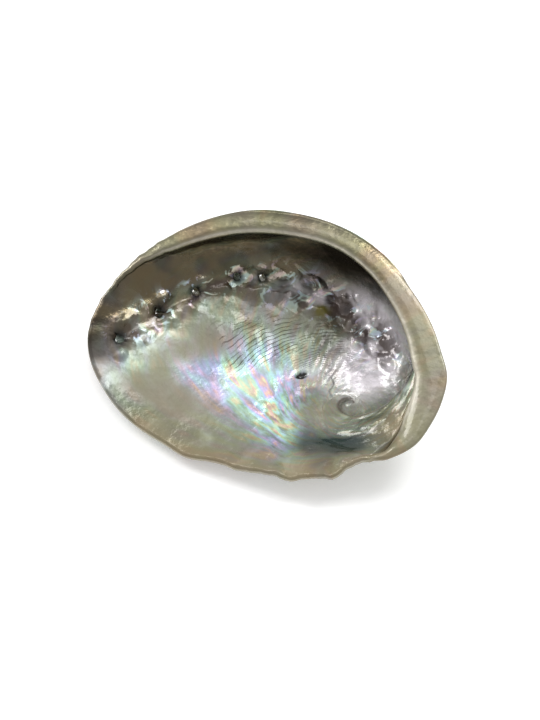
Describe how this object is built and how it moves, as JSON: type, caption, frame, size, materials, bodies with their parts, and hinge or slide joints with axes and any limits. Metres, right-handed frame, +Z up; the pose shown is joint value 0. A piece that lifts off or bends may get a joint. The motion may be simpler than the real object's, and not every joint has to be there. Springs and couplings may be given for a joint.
{
  "type": "abalone shell",
  "caption": "Whole abalone shell lying on its back: an ear-shaped pearly bowl coiling into a low spire, with a row of breathing holes and an inner-lip flange.",
  "frame": {"origin": "centre of the bounding box's base, in the plane of the flat that the shell rests on", "axes": "+X along the shell towards the spire (posterior) end, +Y towards the inner lip, +Z up out of the opening"},
  "size_m": [0.1496, 0.1206, 0.0424],
  "materials": {
    "nacre": "polished mother of pearl"
  },
  "bodies": {
    "root": {"abalone_shell": "nacre"}
  },
  "joints": []
}
